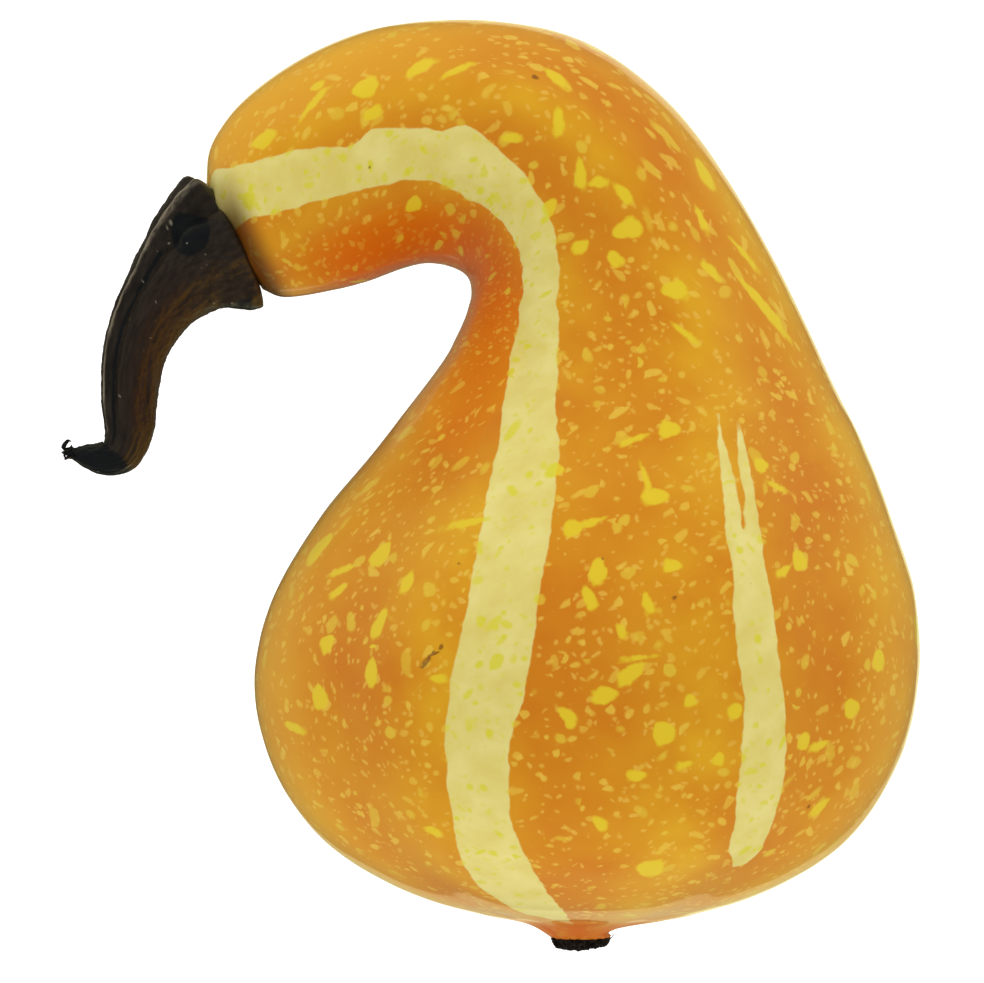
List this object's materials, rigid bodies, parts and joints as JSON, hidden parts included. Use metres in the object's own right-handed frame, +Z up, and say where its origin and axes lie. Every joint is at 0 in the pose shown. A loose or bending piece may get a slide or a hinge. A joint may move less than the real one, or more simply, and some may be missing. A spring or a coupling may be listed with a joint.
{
  "type": "dried bottle gourd",
  "caption": "Dried bottle gourd with a lobed pear-shaped bulb, a neck bent over to one side, a hooked woody stem and a blossom scar, lying on its back.",
  "frame": {"origin": "centre of the gourd's box in X and Y, on the level surface that it lies on", "axes": "+Z up, square to the surface it lies on; +X from the neck's bend to the blossom end of the bulb; the stem points to -Y"},
  "size_m": [0.172, 0.1656, 0.125],
  "materials": {
    "rind": "hard orange rind with cream stripes and yellow flecks, under clear gloss lacquer",
    "stem": "dried dark brown woody stalk, ridged and wrinkled, under clear gloss lacquer",
    "scar": "black crumbly cork, dull"
  },
  "bodies": {
    "root": {"fruit": "rind", "stem": "stem", "blossom_scar": "scar"}
  },
  "joints": []
}
